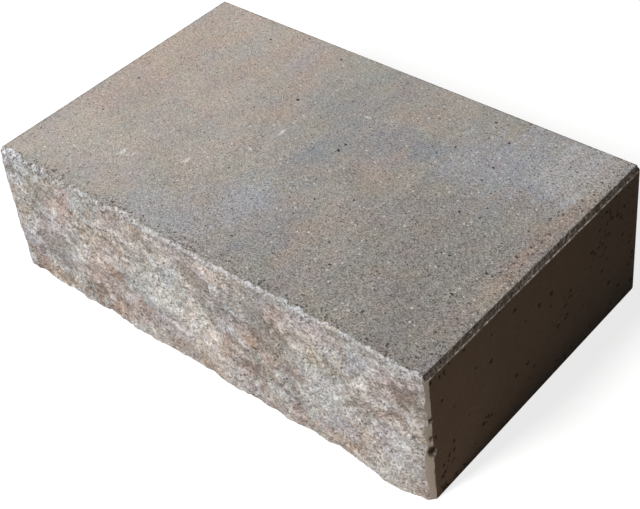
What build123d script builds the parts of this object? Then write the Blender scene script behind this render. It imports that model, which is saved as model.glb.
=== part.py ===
from build123d import *
import math
import os
import random

# A concrete step block, cast as one half of a deeper slab and then split away from the other half.
# Millimetres. X runs along the step, the split face looks towards -Y and the tread looks up.
# The origin is on the underside, at the middle of the length and of the overall depth.

# Overall size
LENGTH = 600.0  # moulded end to moulded end
DEPTH = 375.0  # moulded back to the foremost point of the split face
HEIGHT = 170.0  # underside to tread

# Moulded edges of the tread: a bevel inside a narrow flat ledge, on the two ends and the back
BEVEL_WIDTH = 3.0
BEVEL_DEPTH = 5.5  # steeper than it is wide
LEDGE = 1.5  # flat strip between the bevel and the side wall
BACK_CORNER = 8.0  # radius of the two upright corners at the back

# Splitting grooves: one upright V in each end, where the slab breaks in two
GROOVE_DEPTH = 14.0  # how far the V reaches in from the end wall
FRONT = -DEPTH / 2  # foremost point of the split face
PROUDEST = 12.5  # how far that point stands in front of the groove's mouth
MOUTH = FRONT + PROUDEST  # where the end walls stop and the groove's slope begins

# The split face: how far it stands in front of the groove's mouth
PROUD_AT_TREAD = 3.4
PROUD_AT_LEFT_FOOT = 4.0
PROUD_AT_RIGHT_FOOT = 7.0

# Flakes and swellings that the break left: (x, height, half length, half height, proud)
FLAKES = (
    (-219, 56, 26, 30, -2.2),
    (-208, 98, 30, 26, 1.3),
    (-120, 92, 44, 26, 1.9),
    (-66, 62, 34, 24, 1.6),
    (-128, 30, 40, 22, -1.3),
    (-20, 44, 34, 24, 1.6),
    (30, 118, 32, 30, -2.6),
    (28, 0, 21, 26, 3.0),
    (68, 58, 28, 28, -1.3),
    (99, 108, 26, 24, -2.0),
    (150, 104, 22, 42, 2.0),
    (176, 42, 40, 26, 1.5),
    (205, 112, 17, 34, 1.5),
    (268, 122, 26, 22, -2.0),
    (238, 72, 24, 28, -1.3),
    (258, 8, 25, 40, 5.0),
    (300, 0, 16, 22, -3.6),
    (300, 90, 16, 50, -1.3),
)

# Smaller waves that run through the whole face
WAVES = 9
WAVE_HEIGHT = 0.55
LONGEST_WAVE = 150.0
SHORTEST_WAVE = 55.0

# Spacing of the points that the broken surface is drawn through, and of those that find its foremost place
ALONG_STEP = 12.0
UP_STEP = 10.0
LOOK_STEP = 4.0
MARGIN = 24.0  # how far the broken surface runs past the block on every side

SPARE = 60.0  # the slab is first drawn this far past the split, into the half that is broken off
SLAB_FRONT = FRONT - SPARE
BACK = DEPTH / 2
BEVEL_SLOPE = math.degrees(math.atan2(BEVEL_WIDTH, BEVEL_DEPTH))  # from upright

draw = random.Random(11)
waves = []
for _ in range(WAVES):
    length = draw.uniform(SHORTEST_WAVE, LONGEST_WAVE)
    heading = draw.uniform(-math.pi / 2, math.pi / 2)
    start = draw.uniform(0, 2 * math.pi)
    reach = 2 * math.pi / length
    waves.append((reach * math.cos(heading), reach * math.sin(heading), start))


def proud(x, z):
    """How far the break stands in front of the groove's mouth at a place on the face.

    It is a plain lean between tread and foot, plus the flakes and the waves, which die down near both edges.
    """
    up = min(max(z / HEIGHT, 0.0), 1.0)
    foot = PROUD_AT_LEFT_FOOT + (PROUD_AT_RIGHT_FOOT - PROUD_AT_LEFT_FOOT) * (x / LENGTH + 0.5)
    lean = foot + (PROUD_AT_TREAD - foot) * up
    flakes = sum(
        out * math.exp(-(((x - fx) / wide) ** 2) - ((z - fz) / tall) ** 2)
        for fx, fz, wide, tall, out in FLAKES
    )
    ripple = sum(WAVE_HEIGHT * math.cos(kx * x + kz * z + start) for kx, kz, start in waves)
    near_tread = up**4
    near_foot = (1.0 - up) ** 6
    return lean + (1.0 - 0.6 * near_tread) * flakes + (1.0 - 0.75 * near_tread - 0.55 * near_foot) * ripple


def steps(low, high, spacing):
    """Evenly spaced places from low to high, both included."""
    count = round((high - low) / spacing)
    return [low + (high - low) * i / count for i in range(count + 1)]


along = steps(-LENGTH / 2, LENGTH / 2, LOOK_STEP)
heights = steps(0, HEIGHT, LOOK_STEP)
most = max(proud(x, z) for x in along for z in heights)
trim = PROUDEST - most  # moves the whole break so that its foremost point is where DEPTH puts it

break_points = [
    [Vector(x, MOUTH - proud(x, z) - trim, z) for z in steps(-MARGIN, HEIGHT + MARGIN, UP_STEP)]
    for x in steps(-LENGTH / 2 - MARGIN, LENGTH / 2 + MARGIN, ALONG_STEP)
]
broken_surface = Face.make_surface_from_array_of_points(break_points, tol=0.01)

with BuildPart() as step_block:
    # The slab below the bevel
    with BuildSketch():
        with Locations((0, (BACK + SLAB_FRONT) / 2)):
            Rectangle(LENGTH, BACK - SLAB_FRONT)
    extrude(amount=HEIGHT - BEVEL_DEPTH)
    fillet(step_block.edges().filter_by(Axis.Z).group_by(Axis.Y)[-1], radius=BACK_CORNER)

    # The tread above it, set in by the ledge and tapering in along the bevel
    with BuildSketch(Plane.XY.offset(HEIGHT - BEVEL_DEPTH)):
        with Locations((0, (BACK + SLAB_FRONT) / 2)):
            RectangleRounded(LENGTH - 2 * LEDGE, BACK - SLAB_FRONT - 2 * LEDGE, BACK_CORNER - LEDGE)
    extrude(amount=BEVEL_DEPTH, taper=BEVEL_SLOPE)

    # The two splitting grooves
    with BuildSketch():
        for end in (-1, 1):
            with BuildLine():
                Polyline(
                    (end * (LENGTH / 2), MOUTH),
                    (end * (LENGTH / 2 - GROOVE_DEPTH), MOUTH - GROOVE_DEPTH),
                    (end * (LENGTH / 2), MOUTH - 2 * GROOVE_DEPTH),
                    close=True,
                )
            make_face()
    extrude(amount=HEIGHT, mode=Mode.SUBTRACT)

    # The break
    split(bisect_by=broken_surface, keep=Keep.BOTTOM)

step_block.part.label = "step_block"

os.makedirs("parts", exist_ok=True)
export_step(step_block.part, "parts/step_block.step")
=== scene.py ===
import math
import random

import bmesh
import bpy
import numpy as np
from mathutils import Euler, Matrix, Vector


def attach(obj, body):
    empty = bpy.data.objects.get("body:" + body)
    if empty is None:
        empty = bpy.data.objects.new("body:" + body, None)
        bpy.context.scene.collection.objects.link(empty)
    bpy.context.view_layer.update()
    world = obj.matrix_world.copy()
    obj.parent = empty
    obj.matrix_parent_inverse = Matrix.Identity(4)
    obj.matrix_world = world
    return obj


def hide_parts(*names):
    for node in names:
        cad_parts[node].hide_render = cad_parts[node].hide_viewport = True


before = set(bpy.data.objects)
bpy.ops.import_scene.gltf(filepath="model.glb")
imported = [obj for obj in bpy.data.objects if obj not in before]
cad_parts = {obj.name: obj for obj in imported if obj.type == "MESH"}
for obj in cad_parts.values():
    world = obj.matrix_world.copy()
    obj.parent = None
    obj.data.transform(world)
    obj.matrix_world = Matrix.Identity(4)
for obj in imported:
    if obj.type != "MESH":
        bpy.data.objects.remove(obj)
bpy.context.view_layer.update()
scene = bpy.context.scene

# The cast block. Sizes in millimetres, in the part's own frame.

MM = 0.001  # a millimetre in the scene's metres
LENGTH, DEPTH, HEIGHT = 600.0, 375.0, 170.0
LEDGE, BEVEL_WIDTH, BEVEL_DEPTH = 1.5, 3.0, 5.5
BACK_CORNER = 8.0  # radius of the two upright corners at the back
PROUDEST = 12.5  # how far the foremost point of the break stands in front of the groove's mouth
LEAST_PROUD = 2.3  # and how far every point does
PROUD_AT_TREAD, PROUD_AT_LEFT_FOOT, PROUD_AT_RIGHT_FOOT = 3.4, 4.0, 7.0
WAVES, WAVE_HEIGHT, SHORTEST_WAVE, LONGEST_WAVE = 9, 0.55, 55.0, 150.0
END, BACK = LENGTH / 2, DEPTH / 2
MOUTH = -BACK + PROUDEST  # where the end walls stop and the splitting groove's slope begins
SHOULDER = HEIGHT - BEVEL_DEPTH  # height of the ledge
RIM = LEDGE + BEVEL_WIDTH  # how far the tread is set in from the ends and the back
LEDGE_FALL = 0.4  # the ledge slopes outwards a little, worn by the mould
OUTER_EDGE = SHOULDER - LEDGE_FALL  # height of the ledge's outer edge
STRIP = 12.0  # the mesh is fine up to this far behind the groove's mouth
FINE_BACK = MOUTH + STRIP
COARSE_FRONT = FINE_BACK + 9.0  # and coarse from here on

FLAKES = (  # swellings and hollows that the break left: x, height, half length, half height, proud
    (-219, 56, 26, 30, -2.2),
    (-208, 98, 30, 26, 1.3),
    (-120, 92, 44, 26, 1.9),
    (-66, 62, 34, 24, 1.6),
    (-128, 30, 40, 22, -1.3),
    (-20, 44, 34, 24, 1.6),
    (30, 118, 32, 30, -2.6),
    (28, 0, 21, 26, 3.0),
    (68, 58, 28, 28, -1.3),
    (99, 108, 26, 24, -2.0),
    (150, 104, 22, 42, 2.0),
    (176, 42, 40, 26, 1.5),
    (205, 112, 17, 34, 1.5),
    (268, 122, 26, 22, -2.0),
    (238, 72, 24, 28, -1.3),
    (258, 8, 25, 40, 5.0),
    (300, 0, 16, 22, -3.6),
    (300, 90, 16, 50, -1.3),
)

draw = random.Random(11)
waves = []
for _ in range(WAVES):
    wave_length = draw.uniform(SHORTEST_WAVE, LONGEST_WAVE)
    heading = draw.uniform(-math.pi / 2, math.pi / 2)
    start = draw.uniform(0, 2 * math.pi)
    reach = 2 * math.pi / wave_length
    waves.append((reach * math.cos(heading), reach * math.sin(heading), start))


def flakes(x, z):
    """Sum of soft round swellings and hollows, each a bell curve in x and in height."""
    return sum(
        out * np.exp(-(((x - fx) / wide) ** 2) - ((z - fz) / tall) ** 2)
        for fx, fz, wide, tall, out in FLAKES
    )


def proud(x, z):
    """The solid's own broad break: a lean from foot to tread, plus the flakes and the waves.

    The flakes are calmer near the tread, and the waves near the tread and the foot.
    """
    up = np.clip(z / HEIGHT, 0.0, 1.0)
    foot = PROUD_AT_LEFT_FOOT + (PROUD_AT_RIGHT_FOOT - PROUD_AT_LEFT_FOOT) * (x / LENGTH + 0.5)
    lean = foot + (PROUD_AT_TREAD - foot) * up
    ripple = sum(WAVE_HEIGHT * np.cos(kx * x + kz * z + start) for kx, kz, start in waves)
    near_tread, near_foot = up**4, (1.0 - up) ** 6
    return (
        lean
        + (1.0 - 0.6 * near_tread) * flakes(x, z)
        + (1.0 - 0.75 * near_tread - 0.55 * near_foot) * ripple
    )


sample_x, sample_z = np.meshgrid(np.linspace(-END, END, 151), np.linspace(0, HEIGHT, 42))
trim = PROUDEST - proud(sample_x, sample_z).max()  # moves the whole break, so that DEPTH holds


def cloud(u, v, cell, seed):
    """Smooth chance values from -1 to 1: one at each corner of a square lattice, eased across each square."""
    squares = 512
    table = np.random.default_rng(seed).uniform(-1, 1, (squares, squares))
    a, b = u / cell + squares / 2, v / cell + squares / 2
    i, j = np.floor(a).astype(int), np.floor(b).astype(int)
    s, t = a - i, b - j
    s, t = s * s * (3 - 2 * s), t * t * (3 - 2 * t)

    def pick(di, dj):
        return table[(i + di) % squares, (j + dj) % squares]

    near = pick(0, 0) * (1 - s) + pick(1, 0) * s
    far = pick(0, 1) * (1 - s) + pick(1, 1) * s
    return near * (1 - t) + far * t


def chipped(u, v, cell, seed, crisp=5.0, tilt=1.1, stray=0.42):
    """Flat tilted chips with creases between them.

    Each square of a lattice holds one plane with a chance height and tilt, at a centre that strays up to a
    share of the square's side from its middle. A place takes the mean of the nine planes round it, each
    weighted by a bell curve of its distance, so the nearest wins.
    """
    squares = 256
    chance = np.random.default_rng(seed).uniform(-1, 1, (5, squares, squares))
    a, b = u / cell + squares / 2, v / cell + squares / 2
    i0, j0 = np.floor(a).astype(int), np.floor(b).astype(int)
    total, weight = np.zeros_like(a), np.zeros_like(a)
    for di in (-1, 0, 1):
        for dj in (-1, 0, 1):
            i, j = (i0 + di) % squares, (j0 + dj) % squares
            dx = a - (i0 + di + 0.5 + stray * chance[0][i, j])
            dy = b - (j0 + dj + 0.5 + stray * chance[1][i, j])
            near = np.exp(-crisp * (dx * dx + dy * dy))
            total += near * (chance[2][i, j] + tilt * (chance[3][i, j] * dx + chance[4][i, j] * dy))
            weight += near
    return total / weight


def rubble(x, z):
    """Finer break on top of the solid's: chips of three sizes and a grain, calmer at the tread."""
    up = np.clip(z / HEIGHT, 0.0, 1.0)
    calm = 1.0 - 0.55 * up**5
    lean_x, lean_z = x + 0.35 * z, z - 0.2 * x
    return (
        calm * 1.5 * chipped(lean_x, lean_z, 36.0, 3)
        + calm * 1.5 * chipped(lean_x, z, 16.0, 4)
        + 0.75 * chipped(x, z, 7.4, 5, crisp=6.0)
        + 0.26 * cloud(x, z, 2.7, 6)
    )


SINK = 0.35  # the finer break is sunk by this, so that most of it stays in the solid
EASE = 2.5  # per millimetre: how sharply the break turns along where it would pass its least or its most
LEFT_CORNER = -272.0  # where along the edge it has crumbled most


def forward(x, z):
    """How far the broken face stands in front of the mouth, eased to stay from LEAST_PROUD to PROUDEST."""
    out = proud(x, z) + trim + rubble(x, z) - SINK
    out = LEAST_PROUD + np.logaddexp(0.0, (out - LEAST_PROUD) * EASE) / EASE
    return PROUDEST - np.logaddexp(0.0, (PROUDEST - out) * EASE) / EASE


def bruise_face(x):
    """How far down the face the tread's broken edge has crumbled, at each x."""
    line = np.zeros_like(x)
    left_corner = np.exp(-(((x - LEFT_CORNER) / 40) ** 2))
    return np.clip(
        11.5
        - 3.0 * x / END
        + 4.5 * cloud(x, line, 26.0, 31)
        + 3.5 * cloud(x, line + 9, 9.0, 32)
        + 1.5 * cloud(x, line + 5, 3.6, 33)
        + 4.0 * left_corner,
        4.0,
        28.0,
    )


def bruise_tread(x):
    """How far back into the tread the same edge has crumbled: a ragged line, with a bite here and there."""
    line = np.zeros_like(x)
    left_corner = np.exp(-(((x - LEFT_CORNER) / 36) ** 2))
    slow, quick = cloud(x, line + 2, 21.0, 34), cloud(x, line + 7, 6.5, 35)
    return np.clip(
        2.3
        + 1.5 * quick
        + 0.9 * cloud(x, line + 4, 2.9, 36)
        + 3.6 * np.clip(slow + 0.5 * quick - 0.35, 0, None)
        + 3.0 * left_corner * (1 + 0.8 * quick),
        0.6,
        9.5,
    )


def inset(height):
    """How far the end profile is set in at a height: none up to the ledge, then the ledge and the bevel."""
    return np.interp(height, [0.0, OUTER_EDGE, SHOULDER, HEIGHT], [0.0, 0.0, LEDGE, RIM])


# Blocks of points and of triangles, joined into one skin at the end
points, triangles, marks = [], [], []


def lay(block, mark=None):
    """Keeps a grid of points and their marks (broken, bruised, ridge, near the edge); gives their numbers."""
    shape = block.shape[:-1]
    first = sum(len(p) for p in points)
    points.append(block.reshape(-1, 3))
    marks.append(np.zeros((points[-1].shape[0], 4)) if mark is None else mark.reshape(-1, 4))
    return np.arange(first, first + len(points[-1])).reshape(shape)


def weave(ids):
    """Two triangles for each square of a grid, the diagonals turning from square to square."""
    a, b, c, d = ids[:-1, :-1], ids[:-1, 1:], ids[1:, 1:], ids[1:, :-1]
    i, j = np.indices(a.shape)
    turn = ((i + j) % 2).astype(bool)[..., None]
    one = np.where(turn, np.stack([a, b, c], -1), np.stack([a, b, d], -1))
    two = np.where(turn, np.stack([a, c, d], -1), np.stack([b, c, d], -1))
    triangles.append(one.reshape(-1, 3))
    triangles.append(two.reshape(-1, 3))


def lace(a, at, b, bt):
    """Triangles between two lines of points of different counts: whichever line is behind steps on next."""
    steps = np.concatenate([at[1:], bt[1:]])
    is_b = np.concatenate([np.zeros(len(at) - 1, int), np.ones(len(bt) - 1, int)])
    order = np.argsort(steps, kind="stable")
    is_b = is_b[order]
    done_b = np.cumsum(is_b) - is_b
    done_a = np.arange(len(order)) - done_b
    other = np.where(is_b == 1, b[np.minimum(done_b + 1, len(b) - 1)], a[np.minimum(done_a + 1, len(a) - 1)])
    triangles.append(np.stack([a[done_a], other, b[done_b]], -1))


# The front: up the broken face, over its crumbled edge and 12 mm back across the tread

COLUMNS = 480
BEVEL_ROWS = 7
CLOSER_FROM = HEIGHT - 19.0  # from this height up the rows lie closer
face_rows = np.concatenate(
    [
        np.linspace(0, CLOSER_FROM, 98),
        np.linspace(CLOSER_FROM, OUTER_EDGE, 14)[1:],
        np.linspace(SHOULDER, HEIGHT, BEVEL_ROWS),
    ]
)
tread_steps = np.array([0.7, 1.4, 2.1, 2.8, 3.6, 4.4, 5.3, 6.4, 7.8, 9.6, STRIP]) / STRIP
TOP_ROW = len(face_rows) - 1

# The face ends where it stands as far forward as it is in from the end wall: a first guess, brought closer
edge_right, edge_left = np.full(len(face_rows), END - 4.0), np.full(len(face_rows), -END + 4.0)
for _ in range(12):
    edge_right = 0.5 * edge_right + 0.5 * (END - np.maximum(forward(edge_right, face_rows), inset(face_rows)))
    edge_left = 0.5 * edge_left + 0.5 * (-END + np.maximum(forward(edge_left, face_rows), inset(face_rows)))

across = np.linspace(0, 1, COLUMNS + 1)[None, :]
face_x = edge_left[:, None] * (1 - across) + edge_right[:, None] * across
face_z = np.broadcast_to(face_rows[:, None], face_x.shape)
face_y = MOUTH - forward(face_x, face_z)
arris_x, arris_y = face_x[-1], face_y[-1]
strip_x = np.broadcast_to(arris_x, (len(tread_steps), COLUMNS + 1))
strip_y = arris_y + (FINE_BACK - arris_y) * tread_steps[:, None]
strip_z = np.full_like(strip_y, HEIGHT)
front_plain = np.concatenate(
    [np.stack([face_x, face_y, face_z], -1), np.stack([strip_x, strip_y, strip_z], -1)]
)

# The crumbled edge: a slanting loss from bruise_face below the edge to bruise_tread behind it, left as crumbs
plain_x, plain_y, plain_z = np.moveaxis(front_plain, -1, 0)
down, back = bruise_face(plain_x), bruise_tread(plain_x)
below, behind = HEIGHT - plain_z, plain_y - arris_y
on_tread = np.zeros(below.shape, bool)
on_tread[TOP_ROW + 1 :] = True
loss = np.where(on_tread, 1 - behind / back, 1 - below / down).clip(0, 1)
along_skin = np.where(on_tread, HEIGHT + behind, plain_z)
crumbs = 0.42 * chipped(plain_x, along_skin, 4.4, 8, crisp=7.0) + 0.4 * cloud(plain_x, along_skin, 1.9, 9)
crumbs *= np.sqrt(loss)
front = front_plain.copy()
front[..., 1] += loss * (0.3 + 0.45 * back) + 0.6 * crumbs
front[..., 2] -= loss * (0.5 + 0.16 * down) + 0.8 * crumbs * np.where(on_tread, 0.6, 1.0)
front[..., 2] = np.minimum(front[..., 2], HEIGHT)

# The marks: 1 is fully so. A ridge's mark is 0.5 on the level, and it rises by 1 over 7 mm of relief.
broken = np.where(on_tread, ((back - behind) / 4.0 + 0.5).clip(0, 1), 1.0)
bruised = np.where(on_tread, broken, (1.15 - below / (0.6 * down)).clip(0, 1))
relief = flakes(plain_x, plain_z) + rubble(plain_x, plain_z)
ridge = (0.5 + relief / 7.0).clip(0, 1)
edge = np.where(on_tread, (1 - behind / 11.0).clip(0, 1), (1 - below / 9.0).clip(0, 1))
front_ids = lay(front, np.stack([broken, bruised, ridge, edge], -1))
weave(front_ids)

# The two front corners: across the groove's slope, round its mouth and 12 mm back along the end wall

SLOPE_STEPS = 7
FADE = 2.5  # the crumbled edge's moves die away over this distance round the corner
WORN, WORN_WIDTH = 0.13, 1.6  # how much the mouth's arris is rubbed off, and over what width
EACH_WAY = 0.7  # the share of a loss at the mouth that goes into each of the two walls
CHIPS = {  # broken spots on the mouth of each groove, right and left: height, depth, radius
    1: ((69, 4.2, 3.6), (64, 2.2, 2.4), (111, 1.8, 2.2), (86, 1.7, 2.6)),
    -1: ((98, 3.0, 3.4), (41, 1.6, 2.4), (127, 1.4, 2.2)),
}
profile_inset = inset(face_rows)
corner_ids = {}
for side in (1, -1):
    column = -1 if side == 1 else 0
    plain = front_plain[: TOP_ROW + 1, column]
    moved = front[: TOP_ROW + 1, column] - plain
    ahead = MOUTH - plain[:, 1]
    mouth = np.stack(
        [side * (END - profile_inset), MOUTH - np.minimum(profile_inset, ahead), face_rows], -1
    )
    share = (np.arange(SLOPE_STEPS + 1) / SLOPE_STEPS)[None, :, None]
    slope = plain[:, None] * (1 - share) + mouth[:, None] * share
    wall = np.repeat(mouth[:, None], len(tread_steps), axis=1)
    wall[..., 1] += (FINE_BACK - mouth[:, None, 1]) * tread_steps
    corner = np.concatenate([slope, wall], axis=1)
    away = np.linalg.norm(corner - plain[:, None], axis=-1, keepdims=True)
    corner += moved[:, None] * np.exp(-away / FADE)
    free = np.minimum(np.arange(corner.shape[1]) / 3.0, 1.0)[None, :]  # no chip moves the face's own points
    chip = np.zeros(corner.shape[:-1])
    for height, depth, radius in CHIPS[side]:
        gap = np.sqrt(
            (corner[..., 0] - side * END) ** 2
            + (corner[..., 1] - MOUTH) ** 2
            + ((corner[..., 2] - height) * 0.8) ** 2
        )
        bite = depth * np.exp(-((gap / radius) ** 2)) * free
        bite = bite * (1 + 0.35 * chipped(corner[..., 2] + 3 * corner[..., 1], corner[..., 0] * 2, 3.0, 12))
        corner[..., 0] -= side * EACH_WAY * bite
        corner[..., 1] += EACH_WAY * bite
        chip = np.maximum(chip, (bite / 1.2).clip(0, 1))
    worn = WORN * np.exp(-(((corner[..., 1] - MOUTH) / WORN_WIDTH) ** 2))
    worn *= 1 + cloud(corner[..., 2], np.full(worn.shape, float(side)), 4.0, 14)
    worn *= face_rows[:, None] < SHOULDER - 2
    corner[:, 1:-1, 0] -= side * EACH_WAY * worn[:, 1:-1]
    corner[:, 1:-1, 1] += EACH_WAY * worn[:, 1:-1]
    corner[:, 0] = front[: TOP_ROW + 1, column]
    corner[-1, : SLOPE_STEPS + 1] = front[TOP_ROW, column]
    corner[-1, SLOPE_STEPS + 1 :] = front[TOP_ROW + 1 :, column]
    corner[0, 1:, 2] = 0.0
    none = np.zeros_like(chip)
    corner_ids[side] = lay(corner, np.stack([none, chip, none, none], -1))
    weave(corner_ids[side])

# The rest of the walls, coarse: from the right end round the back to the left end

PLAIN_ROWS = 13  # levels of the upright wall, up to the ledge's outer edge
wall_rows = np.concatenate(
    [np.linspace(0, OUTER_EDGE, PLAIN_ROWS), np.linspace(SHOULDER, HEIGHT, BEVEL_ROWS)]
)
SIDE_STEPS, BACK_STEPS, ARC_STEPS = 42, 68, 6


def back_corner(set_in):
    """The radius of a back corner that is set in, and the x and y of the right one's centre."""
    radius = BACK_CORNER * (1 - set_in / RIM)
    return radius, END - set_in - radius, BACK - set_in - radius


def ring(height, set_in):
    """One level of the walls: the right end, a round corner, the back, the other corner, the left end."""
    radius, xs, ys = back_corner(set_in)
    side_y = np.linspace(COARSE_FRONT, ys, SIDE_STEPS)
    turn = np.linspace(0, math.pi / 2, ARC_STEPS + 1)[1:-1]
    pieces = (
        (np.full(SIDE_STEPS, END - set_in), side_y),
        (xs + radius * np.cos(turn), ys + radius * np.sin(turn)),
        (np.linspace(xs, -xs, BACK_STEPS), np.full(BACK_STEPS, BACK - set_in)),
        (-xs - radius * np.sin(turn), ys + radius * np.cos(turn)),
        (np.full(SIDE_STEPS, -END + set_in), side_y[::-1]),
    )
    x, y = (np.concatenate(part) for part in zip(*pieces))
    return np.stack([x, y, np.full_like(x, height)], -1)


walls = np.stack([ring(height, float(inset(height))) for height in wall_rows])
wall_ids = lay(walls)
weave(wall_ids)

upright = int(np.searchsorted(face_rows, OUTER_EDGE))
for side, station in ((1, 0), (-1, -1)):
    fine, coarse = corner_ids[side][:, -1], wall_ids[:, station]
    lace(fine[: upright + 1], face_rows[: upright + 1], coarse[:PLAIN_ROWS], wall_rows[:PLAIN_ROWS])
    weave(np.stack([fine[upright:], coarse[PLAIN_ROWS - 1 :]], -1))


def flat(height, set_in, line, line_x):
    """A level face: a grid set in from the walls, laced to the fine line, fanned at the back corners."""
    radius, xs, ys = back_corner(set_in)
    gx = np.concatenate([[-END + set_in], np.linspace(-xs, xs, BACK_STEPS), [END - set_in]])
    gy = np.concatenate([np.linspace(COARSE_FRONT, ys, SIDE_STEPS), [BACK - set_in]])
    x, y = np.meshgrid(gx, gy)
    ids = lay(np.stack([x, y, np.full_like(x, height)], -1))
    weave(ids[:-1])
    weave(ids[-2:, 1:-1])
    turn = np.linspace(0, math.pi / 2, ARC_STEPS + 1)
    for side in (1, -1):
        rim_x, rim_y = side * (xs + radius * np.cos(turn)), ys + radius * np.sin(turn)
        arc = lay(np.stack([rim_x, rim_y, np.full_like(turn, height)], -1))
        hub = np.full(ARC_STEPS, ids[-2, -2] if side == 1 else ids[-2, 1])
        triangles.append(np.stack([hub, arc[:-1], arc[1:]], -1))
    lace(line, np.maximum(line_x, gx[1] + 0.01), ids[0], gx)


flat(HEIGHT, RIM, front_ids[-1], front[-1, :, 0])
foot_line = np.concatenate([corner_ids[-1][0, :0:-1], front_ids[0], corner_ids[1][0, 1:]])
every_point = np.concatenate(points)
flat(0.0, 0.0, foot_line, every_point[foot_line, 0])

# One closed skin: points that coincide are joined, and triangles that shrank to nothing are dropped

JOIN = 0.001  # points that round to the same multiple of this are one
OFF_HALF = 0.000317  # keeps round sizes away from where the rounding turns over
every_point, every_mark = np.concatenate(points), np.concatenate(marks)
every_triangle = np.concatenate(triangles)
rounded = np.round((every_point + OFF_HALF) / JOIN).astype(np.int64)
_, keep, number = np.unique(rounded, axis=0, return_index=True, return_inverse=True)
number = number.reshape(-1)
joined_mark = np.zeros((len(keep), 4))
np.maximum.at(joined_mark, number, every_mark)
every_triangle = number[every_triangle]
one, two, three = every_triangle.T
every_triangle = every_triangle[(one != two) & (two != three) & (three != one)]
used, every_triangle = np.unique(every_triangle, return_inverse=True)
every_triangle = every_triangle.reshape(-1, 3)
skin_points, skin_marks = every_point[keep][used], joined_mark[used]

edges = np.sort(every_triangle[:, [0, 1, 1, 2, 2, 0]].reshape(-1, 2), axis=1)
_, uses = np.unique(edges, axis=0, return_counts=True)
open_edges = int((uses != 2).sum())
print("skin:", len(skin_points), "points,", len(every_triangle), "triangles, open edges:", open_edges)

CREASE = 42.0  # degrees: past this angle between two faces their edge is drawn sharp
mesh = bpy.data.meshes.new("cast_step_block")
mesh.from_pydata((skin_points * MM).tolist(), [], every_triangle.tolist())
for column, name in enumerate(("broken", "bruised", "ridge")):
    layer = mesh.attributes.new(name, "FLOAT", "POINT")
    layer.data.foreach_set("value", skin_marks[:, column].astype(np.float32))
work = bmesh.new()
work.from_mesh(mesh)
bmesh.ops.recalc_face_normals(work, faces=work.faces)
work.to_mesh(mesh)
work.free()
mesh.polygons.foreach_set("use_smooth", np.ones(len(mesh.polygons), bool))
mesh.set_sharp_from_angle(angle=math.radians(CREASE))
block = bpy.data.objects.new("cast_step_block", mesh)
scene.collection.objects.link(block)
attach(block, "root")
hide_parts("step_block")

# Finishes. Shader helpers first.


def group(name, takes, gives):
    """An empty shader group. Each input has a kind, or the number it starts with, and each output a kind."""
    tree = bpy.data.node_groups.new(name, "ShaderNodeTree")
    for label, start in takes.items():
        kind = start if isinstance(start, str) else "Float"
        socket = tree.interface.new_socket(label, in_out="INPUT", socket_type="NodeSocket" + kind)
        if kind == "Float":
            socket.default_value = start
    for label, kind in gives.items():
        tree.interface.new_socket(label, in_out="OUTPUT", socket_type="NodeSocket" + kind)
    return tree, tree.nodes.new("NodeGroupInput").outputs, tree.nodes.new("NodeGroupOutput").inputs


def fill(tree, socket, value):
    """Links a socket to another node's output, or gives it a plain value; one number fills a vector."""
    if isinstance(value, bpy.types.NodeSocket):
        tree.links.new(value, socket)
    elif socket.type == "RGBA" and len(value) == 3:
        socket.default_value = (*value, 1.0)
    elif socket.type == "VECTOR" and isinstance(value, float):
        socket.default_value = (value, value, value)
    else:
        socket.default_value = value


def put(tree, kind, values=None, **settings):
    """A node of a kind with its settings, and a value or a link for each input named."""
    node = tree.nodes.new("ShaderNode" + kind)
    for key, value in settings.items():
        setattr(node, key, value)
    for key, value in (values or {}).items():
        fill(tree, node.inputs[key], value)
    return node


def use(tree, made, place, **values):
    """A shader group at a place, with its other inputs filled; gives its outputs, or its only one."""
    node = tree.nodes.new("ShaderNodeGroup")
    node.node_tree = made
    for key, value in {"Place": place, **values}.items():
        fill(tree, node.inputs[key], value)
    return node.outputs if len(node.outputs) > 1 else node.outputs[0]


def maths(tree, what, *values, clamp=False):
    return put(tree, "Math", dict(enumerate(values)), operation=what, use_clamp=clamp).outputs[0]


def centred(tree, value):
    """A value about 0.5, moved to lie about nothing."""
    return maths(tree, "SUBTRACT", value, 0.5)


def vectors(tree, what, *values):
    node = put(tree, "VectorMath", dict(enumerate(values)), operation=what)
    return node.outputs["Value" if what == "LENGTH" else "Vector"]


def parts_of(tree, vector):
    return put(tree, "SeparateXYZ", {0: vector}).outputs


def facing(tree):
    """Which way the skin itself faces, without smoothing or bump."""
    return parts_of(tree, put(tree, "NewGeometry").outputs["True Normal"])


def ramp(tree, value, low, high, to_low=0.0, to_high=1.0):
    """A smooth step: to_low where the value is at low, to_high where it is at high."""
    values = {"Value": value, "From Min": low, "From Max": high, "To Min": to_low, "To Max": to_high}
    return put(tree, "MapRange", values, interpolation_type="SMOOTHSTEP").outputs["Result"]


def blend(tree, share, low, high):
    return put(tree, "Mix", {0: share, 6: low, 7: high}, data_type="RGBA").outputs[2]


def laid(tree, colour, mask, strength, tint):
    """A tint laid over a colour where a mask is, no stronger than strength."""
    return blend(tree, maths(tree, "MULTIPLY", mask, strength), colour, tint)


def times(tree, colour, other):
    """Two colours multiplied, part by part."""
    values = {0: 1.0, 6: colour, 7: other}
    return put(tree, "Mix", values, data_type="RGBA", blend_type="MULTIPLY").outputs[2]


def toned(tree, colour, tone):
    """The colour times a grey tone."""
    return times(tree, colour, put(tree, "CombineColor", {0: tone, 1: tone, 2: tone}).outputs[0])


def noise(tree, place, per_metre, detail=3.0, roughness=0.6):
    """A noise's outputs: output 0 is one value about 0.5, and Color is three of them."""
    values = {"Vector": place, "Scale": per_metre, "Detail": detail, "Roughness": roughness}
    return put(tree, "TexNoise", values).outputs


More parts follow.
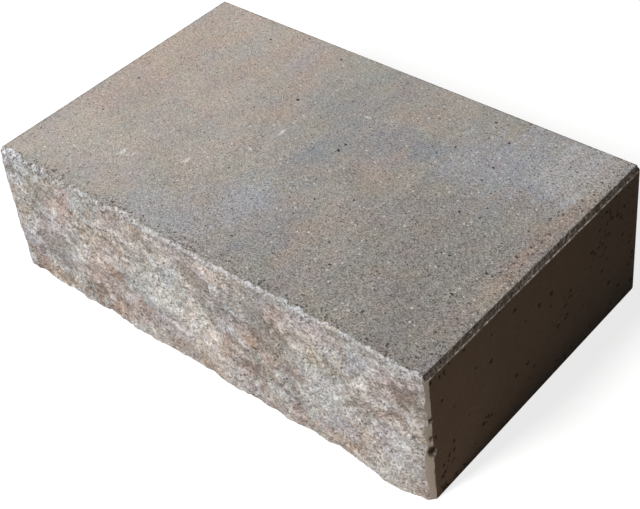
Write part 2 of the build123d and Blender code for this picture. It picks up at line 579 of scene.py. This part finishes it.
def drift(tree, place, per_metre, reach, detail=4.0):
    """The place moved about by up to half of reach, so that what is laid by it has no plain outline."""
    shift = vectors(tree, "SUBTRACT", noise(tree, place, per_metre, detail)["Color"], 0.5)
    return vectors(tree, "MULTIPLY_ADD", shift, reach, place)


def mm(x, y, z):
    return (x * MM, y * MM, z * MM)


# Shader groups that several finishes share


def make_sand():
    """Sand: each cell of a Voronoi has a chance tone and a chance dome, over a mottle of noise."""
    takes = {"Place": "Vector", "Grain": 0.002, "Spread": 0.3, "Mottle": 1.5}
    tree, given, out = group("sand grain", takes, {"Tone": "Float", "Height": "Float"})
    per_metre = maths(tree, "DIVIDE", 1.0, given["Grain"])
    cells = put(tree, "TexVoronoi", {"Vector": given["Place"], "Scale": per_metre})
    lots = put(tree, "SeparateColor", {"Color": cells.outputs["Color"]}).outputs
    mottle = noise(tree, given["Place"], maths(tree, "MULTIPLY", per_metre, 0.45), 4.0, 0.85)[0]
    cell_part = maths(tree, "MULTIPLY", centred(tree, lots[0]), 1.6)
    mottle_part = maths(tree, "MULTIPLY", centred(tree, mottle), given["Mottle"])
    both = maths(tree, "ADD", cell_part, mottle_part)
    tree.links.new(maths(tree, "MULTIPLY_ADD", both, given["Spread"], 1.0), out["Tone"])
    dome = maths(tree, "MULTIPLY", maths(tree, "SUBTRACT", 1.0, cells.outputs["Distance"]), lots[0])
    tree.links.new(maths(tree, "MULTIPLY_ADD", mottle, 1.4, dome), out["Height"])
    return tree


def make_specks():
    """Scattered specks: a share of a Voronoi's cells hold one each, of a chance size and a ragged outline."""
    takes = {"Place": "Vector", "Spacing": 0.01, "Share": 0.3, "Size": 0.25, "Raggedness": 0.3}
    tree, given, out = group("specks", takes, {"Mask": "Float"})
    per_metre = maths(tree, "DIVIDE", 1.0, given["Spacing"])
    reach = maths(tree, "MULTIPLY", given["Spacing"], given["Raggedness"])
    place = drift(tree, given["Place"], maths(tree, "MULTIPLY", per_metre, 2.6), reach, 2.0)
    cells = put(tree, "TexVoronoi", {"Vector": place, "Scale": per_metre, "Randomness": 0.9})
    lots = put(tree, "SeparateColor", {"Color": cells.outputs["Color"]}).outputs
    chosen = maths(tree, "LESS_THAN", lots[0], given["Share"])
    size = maths(tree, "MULTIPLY", given["Size"], maths(tree, "MULTIPLY_ADD", lots[1], 0.9, 0.4))
    inside = ramp(tree, maths(tree, "DIVIDE", cells.outputs["Distance"], size), 1.0, 0.55)
    tree.links.new(maths(tree, "MULTIPLY", inside, chosen), out["Mask"])
    return tree


def make_patch():
    """A tint laid round a centre, thinning outwards; Break, a value about 0.5, tears its outline."""
    takes = {"Colour": "Color", "Place": "Vector", "Break": 0.5, "Centre": "Vector", "Reach": "Vector"}
    tree, given, out = group("tint patch", {**takes, "Tint": "Color", "Strength": 0.6}, {"Colour": "Color"})
    offset = vectors(tree, "SUBTRACT", given["Place"], given["Centre"])
    offset = vectors(tree, "DIVIDE", offset, given["Reach"])
    torn = maths(tree, "MULTIPLY", centred(tree, given["Break"]), 1.3)
    far = maths(tree, "ADD", vectors(tree, "LENGTH", offset), torn)
    share = maths(tree, "MULTIPLY", ramp(tree, far, 1.2, 0.3), given["Strength"])
    tree.links.new(blend(tree, share, given["Colour"], given["Tint"]), out["Colour"])
    return tree


def make_melange():
    """Clouds of the mix, drawn out along the way it was spread, as a value about 0.5."""
    takes = {"Place": "Vector", "Width": 0.05, "Length": 0.15, "Contrast": 1.5}
    tree, given, out = group("melange", takes, {"Value": "Float"})
    size = put(tree, "CombineXYZ", {0: given["Width"], 1: given["Length"], 2: given["Width"]}).outputs[0]
    cloudy = centred(tree, noise(tree, vectors(tree, "DIVIDE", given["Place"], size), 1.0, 5.0, 0.6)[0])
    tree.links.new(maths(tree, "MULTIPLY_ADD", cloudy, given["Contrast"], 0.5, clamp=True), out["Value"])
    return tree


def make_hue_drift():
    """The colour turned a little warmer or cooler, and greener or pinker, from place to place."""
    takes = {"Colour": "Color", "Place": "Vector", "Size": 0.02, "Warmth": 0.1, "Green": 0.1}
    tree, given, out = group("hue drift", takes, {"Colour": "Color"})
    per_metre = maths(tree, "DIVIDE", 1.0, given["Size"])
    chance = noise(tree, given["Place"], per_metre, 3.0, 0.55)["Color"]
    lots = put(tree, "SeparateColor", {"Color": chance}).outputs
    warm = maths(tree, "MULTIPLY", centred(tree, lots[0]), given["Warmth"])
    green = maths(tree, "MULTIPLY", centred(tree, lots[1]), given["Green"])
    red_part, green_part = maths(tree, "ADD", 1.0, warm), maths(tree, "ADD", 1.0, green)
    turned = {0: red_part, 1: green_part, 2: maths(tree, "SUBTRACT", 1.0, warm)}
    share = put(tree, "CombineColor", turned).outputs[0]
    tree.links.new(times(tree, given["Colour"], share), out["Colour"])
    return tree


sand, specks, patch = make_sand(), make_specks(), make_patch()
melange, hue_drift = make_melange(), make_hue_drift()

# Tints of the mix, as linear colours, with two dark ones that are painted shade in pits and cavities

BEIGE = (0.425, 0.372, 0.335)
PINKISH = (0.40, 0.358, 0.335)
ORANGE = (0.405, 0.325, 0.27)
GREY = (0.30, 0.293, 0.282)
BLUE_GREY = (0.285, 0.287, 0.298)
LILAC_GREY = (0.362, 0.365, 0.39)
BROWN_GREY = (0.292, 0.275, 0.258)
OLIVE_GREY = (0.265, 0.258, 0.245)
RUST = (0.30, 0.208, 0.152)
PALE_RUST = (0.39, 0.315, 0.27)
DUST = (0.55, 0.545, 0.525)
GREY_GREEN = (0.48, 0.485, 0.465)
LILAC_WHITE = (0.55, 0.545, 0.56)
CAVITY_SHADE = (0.15, 0.135, 0.12)
PALE_CHIP = (0.66, 0.64, 0.60)
PAINTED_PIT_SHADE = (0.06, 0.055, 0.05)

TREAD_TINTS = (  # x, y, half width, half length, tint, strength
    (-256, 60, 60, 190, ORANGE, 0.55),
    (-160, 100, 34, 120, ORANGE, 0.45),
    (-131, 130, 12, 60, PINKISH, 0.5),
    (-96, 120, 20, 80, ORANGE, 0.4),
    (-80, 50, 26, 40, ORANGE, 0.45),
    (-200, -120, 110, 60, PINKISH, 0.6),
    (-30, 110, 50, 70, GREY, 0.9),
    (5, 20, 22, 70, BLUE_GREY, 0.9),
    (-5, -90, 38, 60, LILAC_GREY, 0.7),
    (-60, -150, 60, 40, LILAC_GREY, 0.5),
    (58, 145, 32, 44, ORANGE, 0.6),
    (60, 60, 60, 40, BLUE_GREY, 0.6),
    (90, 85, 60, 26, BLUE_GREY, 0.8),
    (190, 110, 80, 80, LILAC_GREY, 0.95),
    (262, 140, 50, 60, LILAC_WHITE, 0.4),
    (82, 22, 28, 42, ORANGE, 0.55),
    (88, -90, 20, 80, ORANGE, 0.35),
    (45, -110, 34, 70, BLUE_GREY, 0.6),
    (180, -40, 80, 110, BROWN_GREY, 0.6),
    (-140, 20, 40, 50, BEIGE, 0.5),
    (72, 3, 24, 30, OLIVE_GREY, 0.5),
    (45, 153, 50, 24, GREY, 0.5),
    (232, -130, 46, 60, OLIVE_GREY, 0.5),
    (170, -96, 14, 14, ORANGE, 0.3),
    (282, 20, 14, 160, ORANGE, 0.6),
)

# the pits among these spots are painted shade: dark colour where the tread has small holes
TREAD_SPOTS = (  # single chips and pits: x, y, half width, half length, tint, strength
    (-174, -103, 3, 8, PALE_CHIP, 0.9),
    (-161, -100, 2, 4, PALE_CHIP, 0.7),
    (-104, -75, 3, 7, PALE_CHIP, 0.85),
    (-51, 19, 2.5, 8, PALE_CHIP, 0.8),
    (-60, -22, 5, 2.5, PALE_CHIP, 0.6),
    (12, 93, 6, 3, PALE_CHIP, 0.7),
    (-250, 158, 2.5, 3, PALE_CHIP, 0.6),
    (-275, -42, 3, 2, PALE_CHIP, 0.6),
    (270, -22, 1.7, 1.7, PAINTED_PIT_SHADE, 0.9),
    (271, -38, 2.0, 1.7, PAINTED_PIT_SHADE, 0.9),
    (176, -95, 2.0, 1.7, PAINTED_PIT_SHADE, 0.8),
    (212, 25, 1.7, 2.2, PAINTED_PIT_SHADE, 0.8),
    (248, -97, 1.7, 1.7, PAINTED_PIT_SHADE, 0.8),
    (272, -128, 2.0, 2.6, PAINTED_PIT_SHADE, 0.9),
    (276, -150, 2.0, 2.0, PAINTED_PIT_SHADE, 0.8),
    (196, 110, 1.6, 1.6, PAINTED_PIT_SHADE, 0.6),
    (-148, 177, 2.2, 1.6, PAINTED_PIT_SHADE, 0.9),
    (-140, 174, 1.3, 1.3, PAINTED_PIT_SHADE, 0.7),
    (-154, -68, 1.3, 1.3, PAINTED_PIT_SHADE, 0.6),
    (-262, -176, 2.2, 2.0, PAINTED_PIT_SHADE, 0.9),
)

FACE_TINTS = (  # x, height, half length, half height, tint, strength
    (-230, 12, 90, 24, RUST, 0.7),
    (-110, 14, 70, 22, RUST, 0.38),
    (-40, 24, 46, 24, RUST, 0.28),
    (60, 12, 70, 16, RUST, 0.4),
    (190, 16, 60, 14, PALE_RUST, 0.6),
    (-168, 95, 20, 15, RUST, 0.6),
    (-148, 72, 28, 13, RUST, 0.65),
    (-260, 122, 50, 36, PALE_RUST, 0.6),
    (-200, 128, 30, 22, PALE_RUST, 0.5),
    (-11, 121, 14, 24, RUST, 0.35),
    (44, 68, 24, 13, RUST, 0.5),
    (120, 80, 26, 17, RUST, 0.45),
    (70, 88, 24, 17, RUST, 0.7),
    (112, 132, 12, 24, RUST, 0.5),
    (272, 132, 18, 20, RUST, 0.6),
    (262, 95, 14, 12, RUST, 0.4),
    (172, 23, 18, 12, PALE_RUST, 0.5),
    (-68, 92, 40, 40, GREY_GREEN, 0.85),
    (-40, 140, 34, 22, DUST, 0.5),
    (4, 58, 32, 46, DUST, 0.9),
    (8, 112, 34, 22, LILAC_WHITE, 0.85),
    (-26, 120, 24, 20, DUST, 0.7),
    (166, 152, 18, 14, LILAC_WHITE, 0.6),
    (34, 148, 40, 20, LILAC_WHITE, 1.0),
    (22, 142, 26, 24, LILAC_WHITE, 0.8),
    (-198, 74, 24, 26, GREY_GREEN, 0.7),
    (-258, 60, 36, 24, DUST, 0.85),
    (-224, 62, 36, 38, LILAC_WHITE, 1.0),
    (178, 52, 30, 28, LILAC_WHITE, 0.9),
    (160, 122, 9, 42, DUST, 0.55),
    (190, 134, 8, 30, DUST, 0.35),
    (196, 116, 40, 22, BROWN_GREY, 0.75),
    (-98, 152, 42, 17, BROWN_GREY, 0.8),
    (262, 20, 32, 22, BROWN_GREY, 0.85),
    (246, 52, 42, 32, GREY_GREEN, 0.6),
    (-282, 154, 20, 17, DUST, 0.6),
    (262, 150, 44, 14, LILAC_WHITE, 0.5),
    (70, 118, 26, 18, LILAC_WHITE, 0.6),
    # the dark patches below are painted shade in cavities of the face and in a crack at the right end
    (-203, 60, 6, 6, CAVITY_SHADE, 0.9),
    (-196, 50, 4, 3, CAVITY_SHADE, 0.7),
    (29, 121, 8, 7, CAVITY_SHADE, 0.6),
    (38, 112, 5, 5, CAVITY_SHADE, 0.5),
    (104, 118, 8, 7, CAVITY_SHADE, 0.85),
    (-100, 122, 5, 3, CAVITY_SHADE, 0.5),
    (272, 116, 13, 3.5, CAVITY_SHADE, 0.95),
)

THROUGH = 900.0  # a tint reaches this far across the skin, so that only its place along the skin counts
FACE_PLANE = MOUTH - 5.0  # about where the split face lies


def lay_tints(tree, colour, place, torn, tints, on_face=False):
    """Every tint of a table over a colour, in turn. The value torn tears outlines, and 0.5 leaves them."""
    for across, along, half_across, half_along, tint, strength in tints:
        centre, reach = mm(across, along, HEIGHT), mm(half_across, half_along, THROUGH)
        if on_face:
            centre, reach = mm(across, FACE_PLANE, along), mm(half_across, THROUGH, half_along)
        values = {"Colour": colour, "Break": torn, "Centre": centre, "Reach": reach}
        colour = use(tree, patch, place, **values, Tint=tint, Strength=strength)
    return colour


# Colours of the pressed tread
DARK_SAND, LIGHT_SAND = (0.305, 0.29, 0.276), (0.375, 0.345, 0.32)
FLECK, PORE_SHADE, PIT_SHADE = (0.66, 0.64, 0.61), (0.11, 0.10, 0.09), (0.055, 0.05, 0.045)
GAP_SHADE, TORN_RIM = (0.065, 0.057, 0.05), (0.10, 0.088, 0.078)

# Colours of the split face
WARM_BREAK, COOL_BREAK = (0.35, 0.307, 0.285), (0.434, 0.433, 0.434)
PALE_CLOUD, DARK_CLOUD, STAIN = (0.56, 0.56, 0.555), (0.225, 0.203, 0.186), (0.29, 0.205, 0.155)
RIDGE_HIGHLIGHT, DEPTH_SHADE, LIP_SHADE = (0.55, 0.545, 0.535), (0.19, 0.165, 0.145), (0.27, 0.268, 0.266)
CRUSHED, CRUMB, BREAK_HOLE_SHADE = (0.462, 0.474, 0.5), (0.60, 0.595, 0.59), (0.10, 0.082, 0.07)

# Colours of the walls and of the bevel
DARK_WALL, PALE_WALL, DUSTY_WALL = (0.32, 0.262, 0.215), (0.385, 0.325, 0.272), (0.43, 0.375, 0.325)
SLOPE, CHIP_SHADE, AIR_HOLE_SHADE = (0.338, 0.295, 0.25), (0.17, 0.145, 0.12), (0.04, 0.032, 0.025)
DARK_BEVEL, PALE_BEVEL, BEVEL_HOLE_SHADE = (0.185, 0.155, 0.13), (0.29, 0.25, 0.215), (0.04, 0.035, 0.03)


def make_pressed():
    """The tread: clouded sandy concrete, pressed by the stamp, with open pores and pits in painted shade, and
    pale chips.
    """
    tree, given, out = group("pressed finish", {"Place": "Vector"}, {"Colour": "Color", "Height": "Float"})
    place = given["Place"]
    streaks = use(tree, melange, place, Width=0.028, Length=0.12, Contrast=2.4)
    broad = use(tree, melange, place, Width=0.11, Length=0.2, Contrast=1.8)
    torn = use(tree, melange, place, Width=0.014, Length=0.05, Contrast=1.9)
    colour = blend(tree, streaks, DARK_SAND, LIGHT_SAND)
    colour = laid(tree, colour, ramp(tree, broad, 0.35, 0.8), 0.6, BEIGE)
    colour = lay_tints(tree, colour, drift(tree, place, 14.0, 0.08), torn, TREAD_TINTS)
    # paler towards the left and the back
    way = parts_of(tree, place)
    paler = maths(tree, "MULTIPLY_ADD", way["X"], -0.62, maths(tree, "MULTIPLY_ADD", way["Y"], 0.55, 1.035))
    colour = toned(tree, colour, paler)
    colour = use(tree, hue_drift, place, Colour=colour, Size=0.034, Warmth=0.2, Green=0.18)
    colour = lay_tints(tree, colour, drift(tree, place, 160.0, 0.005), 0.5, TREAD_SPOTS)
    # and coarser, with deeper pores, towards the near right corner
    near_right = maths(tree, "SUBTRACT", way["X"], way["Y"])
    coarser = ramp(tree, near_right, -0.25, 0.4, 0.34, 0.54)
    grain = use(tree, sand, place, Grain=0.0013, Spread=coarser, Mottle=1.1)
    colour = toned(tree, colour, grain["Tone"])
    # beside the crumbled edge, and less so at the right end, more of the crumbs came out
    to_front = ramp(tree, way["Y"], -0.158, -0.173)
    by_edge = maths(tree, "MAXIMUM", to_front, ramp(tree, way["X"], 0.25, 0.296, 0.0, 0.6))
    gather = ramp(tree, noise(tree, place, 22.0)[0], 0.35, 0.7, 0.2, 0.58)
    share = maths(tree, "MULTIPLY_ADD", by_edge, 0.35, gather)
    pores = use(tree, specks, place, Spacing=0.0034, Share=share, Size=0.325, Raggedness=0.7)
    rightward = ramp(tree, way["X"], -0.2, 0.28, 0.08, 0.3)
    pits = use(tree, specks, place, Spacing=0.011, Share=rightward, Size=0.15, Raggedness=0.6)
    flecks = use(tree, specks, place, Spacing=0.0052, Share=0.25, Size=0.28, Raggedness=0.4)
    clustered = ramp(tree, noise(tree, place, 45.0)[0], 0.46, 0.6, 0.15, 1.0)
    gone = maths(tree, "MULTIPLY", by_edge, clustered)
    gaps = use(tree, specks, place, Spacing=0.0036, Share=gone, Size=0.5, Raggedness=0.9)
    colour = laid(tree, colour, flecks, 0.75, FLECK)
    # pores, pits and gaps are painted dark: painted shade in the holes
    colour = laid(tree, colour, pores, ramp(tree, near_right, -0.2, 0.4, 0.48, 0.9), PORE_SHADE)
    colour = laid(tree, colour, pits, 0.95, PIT_SHADE)
    colour = laid(tree, colour, gaps, 0.85, GAP_SHADE)
    # torn along the bevel, at the two ends and the back
    to_end = maths(tree, "SUBTRACT", maths(tree, "ABSOLUTE", way["X"]), (END - RIM) * MM)
    to_back = maths(tree, "SUBTRACT", way["Y"], (BACK - RIM) * MM)
    ragged = centred(tree, noise(tree, place, 260.0, 3.0, 0.7)[0])
    to_rim = maths(tree, "MULTIPLY_ADD", ragged, 0.009, maths(tree, "MAXIMUM", to_end, to_back))
    colour = blend(tree, ramp(tree, to_rim, -0.0016, 0.0002, 0.0, 0.75), colour, TORN_RIM)
    tree.links.new(colour, out["Colour"])
    sunk = maths(tree, "MULTIPLY_ADD", pits, 2.5, pores)
    height = maths(tree, "MULTIPLY_ADD", sunk, -0.9, maths(tree, "MULTIPLY", grain["Height"], 0.6))
    tree.links.new(height, out["Height"])
    return tree


def make_broken():
    """The split face: crumbled mix with rust, dust and sand in patches, a painted highlight on ridges and
    painted shade in hollows, paler along the bruised edge.
    """
    takes = {"Place": "Vector", "Ridge": 0.5, "Bruised": 0.0}
    tree, given, out = group("broken finish", takes, {"Colour": "Color", "Height": "Float"})
    place = given["Place"]
    drifted = drift(tree, place, 55.0, 0.045)
    clouds = use(tree, melange, drifted, Width=0.03, Length=0.03, Contrast=2.8)
    small_clouds = use(tree, melange, place, Width=0.011, Length=0.011, Contrast=3.0)
    stain = use(tree, melange, drifted, Width=0.009, Length=0.009, Contrast=3.0)
    colour = blend(tree, clouds, WARM_BREAK, COOL_BREAK)
    colour = lay_tints(tree, colour, drifted, small_clouds, FACE_TINTS, on_face=True)
    colour = use(tree, hue_drift, drifted, Colour=colour, Size=0.05, Warmth=0.55, Green=0.28)
    colour = blend(tree, ramp(tree, small_clouds, 0.62, 0.95, 0.0, 0.55), colour, PALE_CLOUD)
    colour = blend(tree, ramp(tree, small_clouds, 0.38, 0.05, 0.0, 0.6), colour, DARK_CLOUD)
    colour = blend(tree, ramp(tree, stain, 0.68, 0.95, 0.0, 0.55), colour, STAIN)
    # raised relief is painted paler and sunk relief darker: a painted highlight on the ridges and painted
    # shade in the hollows
    colour = blend(tree, ramp(tree, given["Ridge"], 0.54, 0.82, 0.0, 0.45), colour, RIDGE_HIGHLIGHT)
    colour = blend(tree, ramp(tree, given["Ridge"], 0.44, 0.18, 0.0, 0.6), colour, DEPTH_SHADE)
    # under the pale line of crushed crumbs runs a darker lip, from about 4 to 12 mm below the tread: painted
    # shade under the crumbled edge
    way = parts_of(tree, place)
    ragged = centred(tree, noise(tree, place, 120.0, 4.0, 0.75)[0])
    below = maths(tree, "MULTIPLY_ADD", ragged, 0.016, maths(tree, "SUBTRACT", HEIGHT * MM, way["Z"]))
    lip = maths(tree, "MULTIPLY", ramp(tree, below, 0.0032, 0.006), ramp(tree, below, 0.0135, 0.0085))
    colour = laid(tree, colour, lip, 0.55, LIP_SHADE)
    # the crumbs lie in clumps at the left and in an unbroken line at the right
    unbroken = ramp(tree, way["X"], -0.2, 0.08, 0.1, 0.75)
    clumps = ramp(tree, noise(tree, place, 48.0, 3.0, 0.7)[0], 0.44, 0.56)
    clumps = maths(tree, "MULTIPLY", maths(tree, "MAXIMUM", clumps, unbroken), 0.85)
    crushed = ramp(tree, maths(tree, "MULTIPLY_ADD", ragged, 3.0, given["Bruised"]), 0.2, 1.0)
    colour = laid(tree, colour, crushed, clumps, CRUSHED)
    spread = maths(tree, "MULTIPLY_ADD", given["Bruised"], ramp(tree, way["X"], 0.0, -0.25, -0.1, 0.2), 0.5)
    grain = use(tree, sand, place, Grain=0.0019, Spread=spread, Mottle=2.2)
    colour = toned(tree, colour, grain["Tone"])
    leftward = ramp(tree, way["X"], -0.1, -0.28, 0.08, 0.4)
    share = maths(tree, "MULTIPLY_ADD", given["Bruised"], leftward, 0.42)
    holes = use(tree, specks, place, Spacing=0.0046, Share=share, Size=0.3, Raggedness=0.8)
    crumbs = use(tree, specks, place, Spacing=0.0055, Share=0.3, Size=0.26, Raggedness=0.5)
    colour = laid(tree, colour, crumbs, 0.42, CRUMB)
    # the holes are painted dark: painted shade in the holes between the crumbs
    colour = laid(tree, colour, holes, 0.7, BREAK_HOLE_SHADE)
    tree.links.new(colour, out["Colour"])
    rubbly = noise(tree, place, 330.0, 5.0, 0.74)[0]
    height = maths(tree, "MULTIPLY_ADD", rubbly, 2.6, maths(tree, "MULTIPLY", grain["Height"], 0.7))
    height = maths(tree, "ADD", height, maths(tree, "MULTIPLY", maths(tree, "SUBTRACT", crumbs, holes), 1.5))
    tree.links.new(height, out["Height"])
    return tree


pressed, split_open = make_pressed(), make_broken()


def material(name):
    """A new material: itself, its node tree and the place in it, on Object coordinates."""
    made = bpy.data.materials.new(name)
    made.use_nodes = True
    made.node_tree.nodes.clear()
    return made, made.node_tree, put(made.node_tree, "TexCoord").outputs["Object"]


BUMP_UNIT = 0.0006


def surface(tree, colour, height, roughness=0.93):
    """The matt shader that every finish ends in; a height of 1 is BUMP_UNIT high."""
    bump = put(tree, "Bump", {"Height": height, "Strength": 1.0, "Distance": BUMP_UNIT}).outputs[0]
    values = {"Base Color": colour, "Roughness": roughness, "Specular IOR Level": 0.08, "Normal": bump}
    put(tree, "OutputMaterial", {"Surface": put(tree, "BsdfPrincipled", values).outputs[0]})


def mark(tree, name):
    return put(tree, "Attribute", attribute_name=name).outputs["Fac"]


def tread_finish():
    made, tree, place = material("pressed tread")
    look = use(tree, pressed, place)
    surface(tree, look["Colour"], look["Height"])
    return made


def broken_look(tree, place):
    """The broken finish, with the skin's own marks."""
    return use(tree, split_open, place, Ridge=mark(tree, "ridge"), Bruised=mark(tree, "bruised"))


def face_finish():
    made, tree, place = material("split face")
    look = broken_look(tree, place)
    surface(tree, look["Colour"], look["Height"], 0.95)
    return made


def arris_finish():
    """The strip along the crumbled edge, where the pressed and the split finish meet."""
    made, tree, place = material("crumbled arris")
    top, front = use(tree, pressed, place), broken_look(tree, place)
    ragged = centred(tree, noise(tree, place, 260.0, 4.0, 0.7)[0])
    share = ramp(tree, maths(tree, "MULTIPLY_ADD", ragged, 3.6, mark(tree, "broken")), 0.4, 0.6)
    height = put(tree, "Mix", {0: share, 2: top["Height"], 3: front["Height"]}, data_type="FLOAT").outputs[0]
    surface(tree, blend(tree, share, top["Colour"], front["Colour"]), height, 0.95)
    return made


def moulded_finish():
    """Ends, back, groove slopes and underside: smooth from the mould, brown, with clusters of air holes and
    chips at the grooves' mouths, both in painted shade.
    """
    made, tree, place = material("moulded wall")
    broad = use(tree, melange, place, Width=0.08, Length=0.08, Contrast=2.0)
    fine = use(tree, melange, place, Width=0.012, Length=0.012, Contrast=1.4)
    colour = laid(tree, blend(tree, broad, DARK_WALL, PALE_WALL), fine, 0.35, DUSTY_WALL)
    grain = use(tree, sand, place, Grain=0.002, Spread=0.1, Mottle=1.5)
    colour = toned(tree, colour, grain["Tone"])
    # the slopes of the grooves are plain, without air holes, and paler towards the foot
    slope = ramp(tree, facing(tree)["Y"], -0.3, -0.6)
    slope_tone = ramp(tree, parts_of(tree, place)["Z"], 0.03, 0.16, 1.27, 0.9)
    colour = blend(tree, slope, colour, toned(tree, SLOPE, slope_tone))
    # dark granular colour where the groove's mouth is chipped, and in scattered spots from noise: painted
    # shade in the chips
    rough = use(tree, sand, place, Grain=0.0016, Spread=0.9, Mottle=2.0)["Tone"]
    chip = noise(tree, place, 420.0, 3.0, 0.7)[0]
    chip = maths(tree, "MULTIPLY_ADD", chip, 1.6, mark(tree, "bruised"))
    colour = blend(tree, ramp(tree, chip, 1.0, 1.4, 0.0, 0.85), colour, toned(tree, CHIP_SHADE, rough))
    gather = ramp(tree, noise(tree, place, 18.0)[0], 0.5, 0.66, 0.02, 0.85)
    small = use(tree, specks, place, Spacing=0.0068, Share=gather, Size=0.42, Raggedness=1.2)
    large = use(tree, specks, place, Spacing=0.026, Share=0.25, Size=0.13, Raggedness=0.3)
    holes = maths(tree, "MULTIPLY", maths(tree, "MAXIMUM", small, large), maths(tree, "SUBTRACT", 1.0, slope))
    # the air holes are painted dark: painted shade inside them
    colour = laid(tree, colour, holes, 0.85, AIR_HOLE_SHADE)
    height = maths(tree, "MULTIPLY_ADD", grain["Height"], 0.12, maths(tree, "MULTIPLY", holes, -2.2))
    surface(tree, colour, height, 0.85)
    return made


def bevel_finish():
    """Bevel and ledge: torn by the stamp as it lifted, so coarse, darker and full of small holes in painted
    shade.
    """
    made, tree, place = material("torn bevel")
    broad = use(tree, melange, place, Width=0.03, Length=0.03, Contrast=2.0)
    colour = blend(tree, broad, DARK_BEVEL, PALE_BEVEL)
    grain = use(tree, sand, place, Grain=0.0028, Spread=0.5, Mottle=2.0)
    colour = toned(tree, colour, grain["Tone"])
    ledge = ramp(tree, facing(tree)["Z"], 0.7, 0.95)
    dusty = ramp(tree, noise(tree, place, 90.0, 4.0, 0.7)[0], 0.4, 0.6, 0.35, 1.15)
    colour = blend(tree, ledge, colour, toned(tree, colour, dusty))
    # the small holes are painted dark: painted shade in them
    holes = use(tree, specks, place, Spacing=0.005, Share=0.45, Size=0.32, Raggedness=0.5)
    colour = laid(tree, colour, holes, 0.75, BEVEL_HOLE_SHADE)
    height = maths(tree, "MULTIPLY_ADD", grain["Height"], 1.3, maths(tree, "MULTIPLY", holes, -1.8))
    surface(tree, colour, height, 0.95)
    return made


# Which finish each face of the skin wears

TREAD, FACE, ARRIS, MOULDED, BEVEL = range(5)
for made in (tread_finish(), face_finish(), arris_finish(), moulded_finish(), bevel_finish()):
    mesh.materials.append(made)
count = len(mesh.polygons)
centres, normals, corners = np.empty((count, 3)), np.empty((count, 3)), np.empty((count, 3), int)
mesh.polygons.foreach_get("center", centres.ravel())
mesh.polygons.foreach_get("normal", normals.ravel())
mesh.polygons.foreach_get("vertices", corners.ravel())
heights = centres[:, 2] / MM
all_broken = skin_marks[corners, 0].min(axis=1) > 0.02
near_edge = skin_marks[corners, 3].max(axis=1) > 0.01
on_top = (normals[:, 2] > 0.9) & (heights > SHOULDER + 1)
on_bevel = (heights > OUTER_EDGE + 0.05) & ~on_top
finish = np.select(
    [near_edge & (all_broken | on_top), all_broken, on_top, on_bevel], [ARRIS, FACE, TREAD, BEVEL], MOULDED
)
mesh.polygons.foreach_set("material_index", finish.astype(np.int32))

# Floor, light and camera

FLOOR_REACH = 6.0
FLOOR_CORNERS = [(a * FLOOR_REACH, b * FLOOR_REACH) for a, b in ((-1, -1), (1, -1), (1, 1), (-1, 1))]
# the darker far paper is a painted shadow: the floor behind the block, as the block sees it
NEAR_PAPER, PAPER_IN_PAINTED_SHADOW = (0.25, 0.18, 0.132), (0.075, 0.053, 0.036)
floor_mesh = bpy.data.meshes.new("floor")
floor_mesh.from_pydata([(x, y, 0) for x, y in FLOOR_CORNERS], [], [(0, 1, 2, 3)])
floor = bpy.data.objects.new("floor", floor_mesh)
scene.collection.objects.link(floor)


def seen_rays(tree):
    """1 for what the camera sees, directly or in a reflection."""
    rays = put(tree, "LightPath").outputs
    return maths(tree, "MAXIMUM", rays["Is Camera Ray"], rays["Is Glossy Ray"])


def floor_finish():
    """White with the block's soft shadow to the camera; to the block, warm paper that is darker behind it,
    where a shadow of the block is painted.
    """
    made, tree, place = material("pale floor")
    painted_shadow_share = ramp(tree, parts_of(tree, place)["Y"], -0.3, 0.25)
    paper = put(tree, "BsdfDiffuse", {"Color": blend(tree, painted_shadow_share, NEAR_PAPER, PAPER_IN_PAINTED_SHADOW)})
    lit = put(tree, "BsdfDiffuse", {"Color": (0.3, 0.3, 0.3)})
    glow = put(tree, "Emission", {"Color": (1, 1, 1), "Strength": 0.8})
    white = put(tree, "AddShader", {0: lit.outputs[0], 1: glow.outputs[0]})
    both = put(tree, "MixShader", {0: seen_rays(tree), 1: paper.outputs[0], 2: white.outputs[0]})
    put(tree, "OutputMaterial", {"Surface": both.outputs[0]})
    return made


floor_mesh.materials.append(floor_finish())

world = bpy.data.worlds.new("studio")
scene.world = world
world.use_nodes = True
sky = world.node_tree
sky.nodes.clear()
dim = put(sky, "Background", {"Color": (1.0, 0.9, 0.8), "Strength": 0.018})
bright = put(sky, "Background", {"Color": (1, 1, 1), "Strength": 1.0})
either = put(sky, "MixShader", {0: seen_rays(sky), 1: dim.outputs[0], 2: bright.outputs[0]})
put(sky, "OutputWorld", {"Surface": either.outputs[0]})

KEY_FROM = Vector((-0.16, -0.70, 0.69)).normalized()  # towards the lamp: front, left and above
KEY_AWAY = 5.0
light = bpy.data.lights.new("key", "AREA")
light.shape, light.size, light.energy, light.color = "SQUARE", 1.2, 352.0, (1.0, 0.99, 0.975)
key = bpy.data.objects.new("key", light)
key.location = KEY_FROM * KEY_AWAY
key.rotation_euler = KEY_FROM.to_track_quat("Z", "Y").to_euler()
scene.collection.objects.link(key)

VIEW_FROM = (0.8469, -0.8186, 1.0738)  # fitted to the block's corners in the photograph
VIEW_TURN = (50.742, 4.548, 39.607)  # degrees
camera = bpy.data.cameras.new("camera")
camera.lens, camera.sensor_width = 78.3, 36.0
camera.shift_x, camera.shift_y = -0.062, -0.1
camera.clip_start, camera.clip_end = 0.05, 60.0
viewer = bpy.data.objects.new("camera", camera)
viewer.location = VIEW_FROM
viewer.rotation_euler = Euler([math.radians(a) for a in VIEW_TURN])
scene.collection.objects.link(viewer)
scene.camera = viewer
scene.view_settings.view_transform = "Standard"
